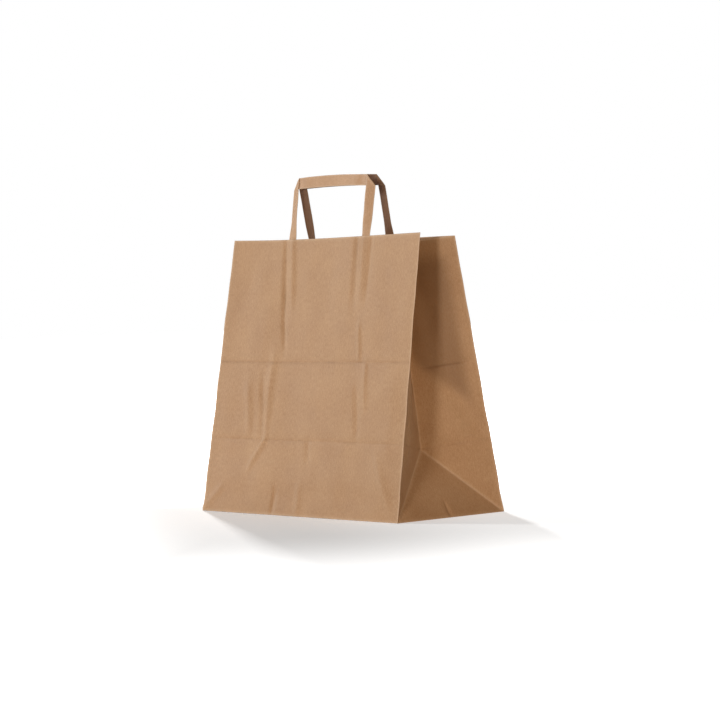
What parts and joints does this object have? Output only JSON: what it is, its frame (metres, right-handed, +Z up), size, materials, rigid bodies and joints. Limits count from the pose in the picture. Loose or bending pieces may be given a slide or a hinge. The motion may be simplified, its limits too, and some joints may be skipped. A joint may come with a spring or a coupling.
{
  "type": "paper carrier bag",
  "caption": "Open kraft paper carrier bag with gusseted sides, a folded block bottom and flat folded paper handles glued inside the mouth.",
  "frame": {"origin": "middle of the underside, in the plane the bag stands on", "axes": "+Z up, +X along the wide front panel towards its right end, -Y out of the front panel"},
  "size_m": [0.28, 0.15, 0.3366],
  "materials": {
    "kraft_bag": "matte",
    "handle_tape": "matte",
    "handle_patch": "matte"
  },
  "bodies": {
    "root": {"bag": "kraft_bag", "front_handle": "handle_tape", "rear_handle": "handle_tape", "front_handle_patch": "handle_patch", "rear_handle_patch": "handle_patch"}
  },
  "joints": []
}
